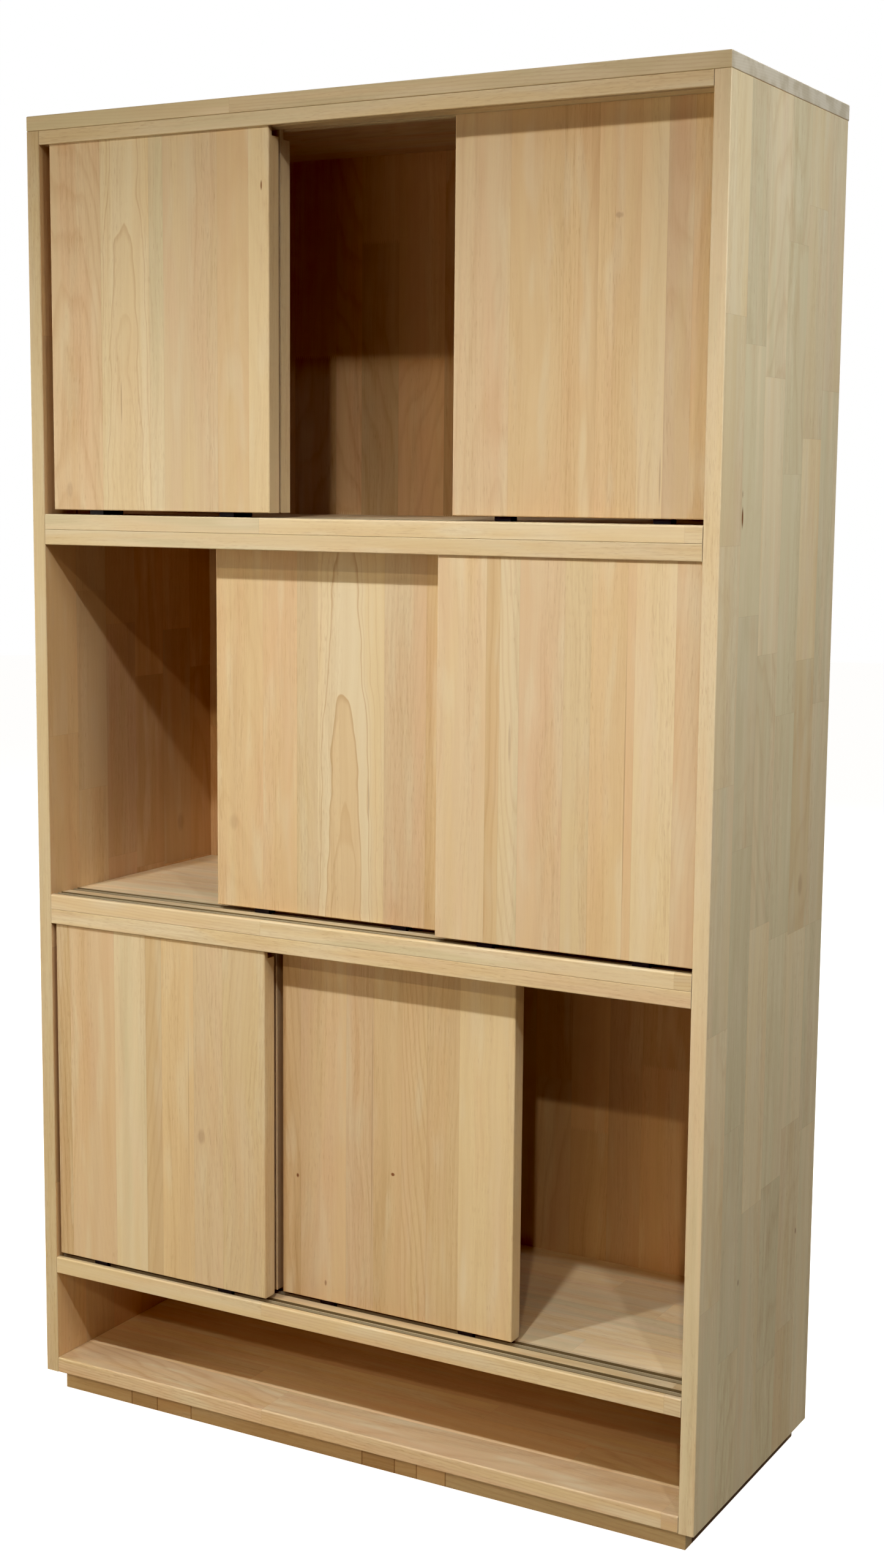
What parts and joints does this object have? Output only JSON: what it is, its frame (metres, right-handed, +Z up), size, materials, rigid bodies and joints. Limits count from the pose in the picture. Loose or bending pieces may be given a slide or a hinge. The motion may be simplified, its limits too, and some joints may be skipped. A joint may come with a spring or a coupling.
{
  "type": "bookcase with sliding doors",
  "caption": "Tall solid-wood bookcase with rows of sliding doors on inlaid double tracks, an open niche at the foot and a recessed plinth.",
  "frame": {"origin": "on the floor, under the middle of the case's bounding box", "axes": "+X to the right seen from the front, +Y from the front to the back, +Z up"},
  "size_m": [1.016, 0.404, 1.8],
  "materials": {
    "case_wood": "satin clear lacquer on edge-glued, finger-jointed staves",
    "door_wood": "satin clear lacquer on edge-glued staves with upright grain",
    "back_wood": "satin clear lacquer on edge-glued staves with upright grain",
    "plinth_wood": "satin clear lacquer",
    "track": "extruded, olive brown, matt",
    "glide": "moulded, black, slightly waxy"
  },
  "bodies": {
    "case": {"side_left": "case_wood", "side_right": "case_wood", "top_board": "case_wood", "top_rail": "case_wood", "upper_shelf": "case_wood", "upper_rail": "case_wood", "middle_shelf": "case_wood", "middle_rail": "case_wood", "lower_shelf": "case_wood", "bottom_board": "case_wood", "back_panel": "back_wood", "plinth_front": "plinth_wood", "plinth_back": "plinth_wood", "plinth_left": "plinth_wood", "plinth_right": "plinth_wood", "top_front_track": "track", "top_rear_track": "track", "middle_front_track": "track", "middle_rear_track": "track", "bottom_front_track": "track", "bottom_rear_track": "track"},
    "top_front_slider": {"top_front_door": "door_wood", "top_front_left_glide": "glide", "top_front_right_glide": "glide"},
    "top_rear_left_slider": {"top_rear_left_door": "door_wood", "top_rear_left_left_glide": "glide", "top_rear_left_right_glide": "glide"},
    "top_rear_right_slider": {"top_rear_right_door": "door_wood", "top_rear_right_left_glide": "glide", "top_rear_right_right_glide": "glide"},
    "middle_front_slider": {"middle_front_door": "door_wood", "middle_front_left_glide": "glide", "middle_front_right_glide": "glide"},
    "middle_rear_left_slider": {"middle_rear_left_door": "door_wood", "middle_rear_left_left_glide": "glide", "middle_rear_left_right_glide": "glide"},
    "middle_rear_right_slider": {"middle_rear_right_door": "door_wood", "middle_rear_right_left_glide": "glide", "middle_rear_right_right_glide": "glide"},
    "bottom_front_slider": {"bottom_front_door": "door_wood", "bottom_front_left_glide": "glide", "bottom_front_right_glide": "glide"},
    "bottom_rear_left_slider": {"bottom_rear_left_door": "door_wood", "bottom_rear_left_left_glide": "glide", "bottom_rear_left_right_glide": "glide"},
    "bottom_rear_right_slider": {"bottom_rear_right_door": "door_wood", "bottom_rear_right_left_glide": "glide", "bottom_rear_right_right_glide": "glide"}
  },
  "joints": [
    {"name": "top_front_slide", "type": "slide", "parent": "case", "child": "top_front_slider", "axis": [1, 0, 0], "range_m": [-0.0136, 0.605]},
    {"name": "top_rear_left_slide", "type": "slide", "parent": "case", "child": "top_rear_left_slider", "axis": [1, 0, 0], "range_m": [-0.0074, 0.2564]},
    {"name": "top_rear_right_slide", "type": "slide", "parent": "case", "child": "top_rear_right_slider", "axis": [1, 0, 0], "range_m": [-0.2564, 0]},
    {"name": "middle_front_slide", "type": "slide", "parent": "case", "child": "middle_front_slider", "axis": [1, 0, 0], "range_m": [-0.6186, 0]},
    {"name": "middle_rear_left_slide", "type": "slide", "parent": "case", "child": "middle_rear_left_slider", "axis": [1, 0, 0], "range_m": [-0.2579, 0.0058]},
    {"name": "middle_rear_right_slide", "type": "slide", "parent": "case", "child": "middle_rear_right_slider", "axis": [1, 0, 0], "range_m": [-0.0058, 0]},
    {"name": "bottom_front_slide", "type": "slide", "parent": "case", "child": "bottom_front_slider", "axis": [1, 0, 0], "range_m": [-0.0043, 0.6143]},
    {"name": "bottom_rear_left_slide", "type": "slide", "parent": "case", "child": "bottom_rear_left_slider", "axis": [1, 0, 0], "range_m": [0, 0.0089]},
    {"name": "bottom_rear_right_slide", "type": "slide", "parent": "case", "child": "bottom_rear_right_slider", "axis": [1, 0, 0], "range_m": [-0.0089, 0.2548]}
  ]
}
